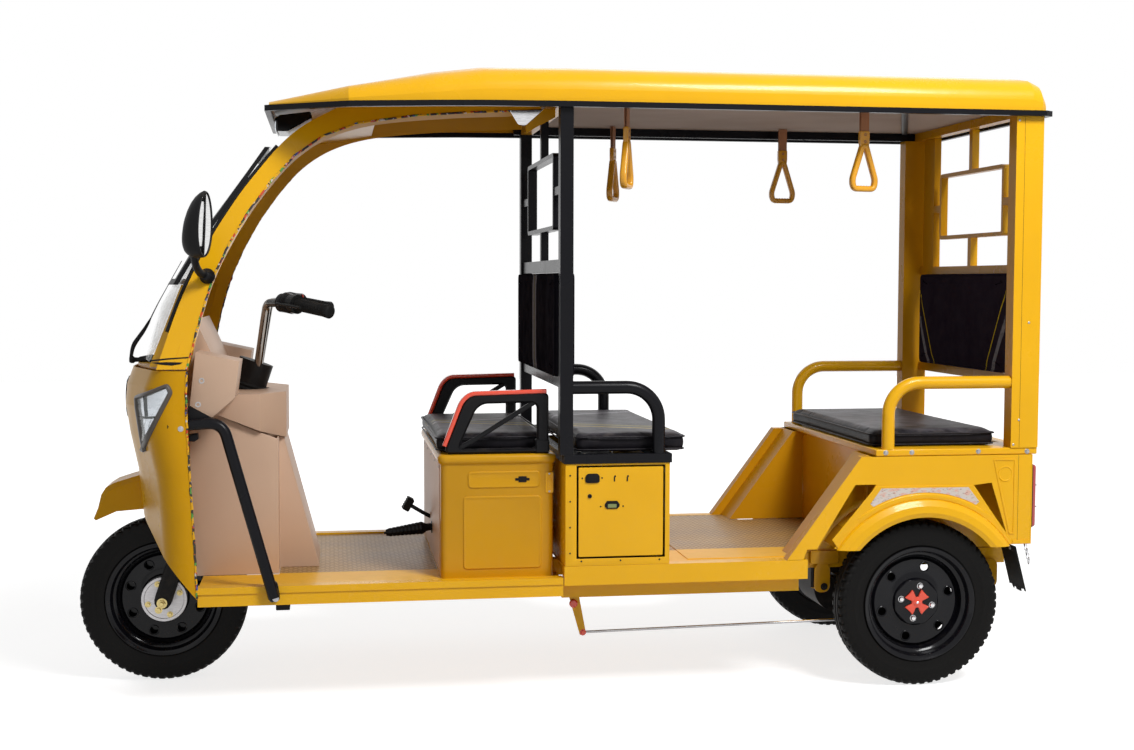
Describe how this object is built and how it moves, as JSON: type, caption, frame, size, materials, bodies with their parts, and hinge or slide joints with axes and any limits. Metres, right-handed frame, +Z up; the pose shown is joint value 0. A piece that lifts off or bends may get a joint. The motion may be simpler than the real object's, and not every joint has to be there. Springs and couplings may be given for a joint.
{
  "type": "electric three-wheeled passenger rickshaw",
  "caption": "Yellow electric three-wheeled passenger rickshaw with a handlebar, an open driver's cab, two facing passenger benches, hoops and a crowned roof.",
  "frame": {"origin": "on the ground under the middle of the vehicle's box", "axes": "+X to the nose, +Y to the vehicle's left side, +Z up"},
  "size_m": [2.88, 1.1718, 1.86],
  "materials": {
    "body_yellow": "gloss yellow paint",
    "frame_black": "semi-gloss black paint",
    "chassis_black": "satin black chassis paint",
    "chequer_yellow": "yellow painted chequer plate",
    "dash_beige": "beige moulded plastic",
    "black_plastic": "black moulded plastic",
    "gloss_black": "gloss black plastic",
    "seat_vinyl": "black grained vinyl",
    "back_vinyl": "grey and black vinyl",
    "red_trim": "orange-red plastic",
    "tail_red": "red lens",
    "glass": "clear glass",
    "tyre": "black tyre",
    "rubber": "black rubber",
    "lining": "grey-brown lining",
    "strap": "yellow plastic and brown webbing",
    "steel": "plain steel"
  },
  "bodies": {
    "root": {"chassis_frame": "chassis_black", "front_floor": "chequer_yellow", "rear_floor": "chequer_yellow", "nose_cowl": "body_yellow", "screen_frame": "body_yellow", "windscreen": "glass", "windscreen_sash": "frame_black", "front_mudguard": "body_yellow", "headlamps": "gloss_black", "nose_plate": "gloss_black", "roof_shell": "body_yellow", "roof_frame": "frame_black", "roof_lining": "lining", "roof_lamp": "gloss_black", "mirrors": "black_plastic", "wiper": "black_plastic", "dashboard": "dash_beige", "leg_shield": "dash_beige", "leg_guards": "frame_black", "driver_seat_box": "body_yellow", "driver_armrests": "black_plastic", "armrest_pads": "red_trim", "battery_box": "body_yellow", "battery_rim": "frame_black", "batteries": "black_plastic", "partition_frame": "frame_black", "front_backrest": "back_vinyl", "rear_bench_box": "body_yellow", "quarter_panels": "body_yellow", "wheel_houses": "body_yellow", "rear_mudguards": "body_yellow", "tail_panel": "body_yellow", "tail_lamps": "tail_red", "mud_flaps": "rubber", "rear_posts": "body_yellow", "rear_lattice": "frame_black", "rear_hoops": "frame_black", "rear_backrest": "back_vinyl", "rear_axle": "chassis_black", "leaf_springs": "steel", "brake_linkage": "steel", "floor_controls": "frame_black", "hanging_handles": "strap", "roof_bead": "frame_black", "wheel_lips": "body_yellow"},
    "steering_body": {"steering": "frame_black"},
    "front_wheel": {"front_tyre": "tyre", "front_rim": "frame_black"},
    "rear_wheel_left": {"rear_tyre_left": "tyre", "rear_rim_left": "frame_black", "wheel_cap_left": "red_trim"},
    "rear_wheel_right": {"rear_tyre_right": "tyre", "rear_rim_right": "frame_black", "wheel_cap_right": "red_trim"},
    "driver_seat_lid": {"driver_seat": "seat_vinyl"},
    "front_bench_lid": {"front_bench_seat": "seat_vinyl"},
    "rear_bench_lid": {"rear_seat": "seat_vinyl"},
    "battery_door_left_body": {"battery_door_left": "body_yellow"},
    "battery_door_right_body": {"battery_door_right": "body_yellow"}
  },
  "joints": [
    {"name": "steer", "type": "hinge", "parent": "root", "child": "steering_body", "pos_m": [1.15, 0, 0.25], "axis": [-0.3173, 0, 0.9483], "range_deg": [-35, 35]},
    {"name": "front_wheel_spin", "type": "hinge", "parent": "steering_body", "child": "front_wheel", "pos_m": [1.19, 0, 0.25], "axis": [0, 1, 0], "continuous": true},
    {"name": "rear_left_spin", "type": "hinge", "parent": "root", "child": "rear_wheel_left", "pos_m": [-1.062, 0.4, 0.25], "axis": [0, 1, 0], "continuous": true},
    {"name": "rear_right_spin", "type": "hinge", "parent": "root", "child": "rear_wheel_right", "pos_m": [-1.062, -0.4, 0.25], "axis": [0, 1, 0], "continuous": true},
    {"name": "driver_seat_lift", "type": "hinge", "parent": "root", "child": "driver_seat_lid", "pos_m": [0.39, 0, 0.722], "axis": [0, 1, 0], "range_deg": [0, 70]},
    {"name": "front_bench_lift", "type": "hinge", "parent": "root", "child": "front_bench_lid", "pos_m": [-0.01, 0, 0.722], "axis": [0, 1, 0], "range_deg": [0, 70]},
    {"name": "rear_bench_lift", "type": "hinge", "parent": "root", "child": "rear_bench_lid", "pos_m": [-1.319, 0, 0.722], "axis": [0, -1, 0], "range_deg": [0, 60]},
    {"name": "left_door_swing", "type": "hinge", "parent": "root", "child": "battery_door_left_body", "pos_m": [-0.271, 0.471, 0.55], "axis": [0, 0, 1], "range_deg": [0, 100]},
    {"name": "right_door_swing", "type": "hinge", "parent": "root", "child": "battery_door_right_body", "pos_m": [-0.271, -0.471, 0.55], "axis": [0, 0, -1], "range_deg": [0, 100]}
  ]
}
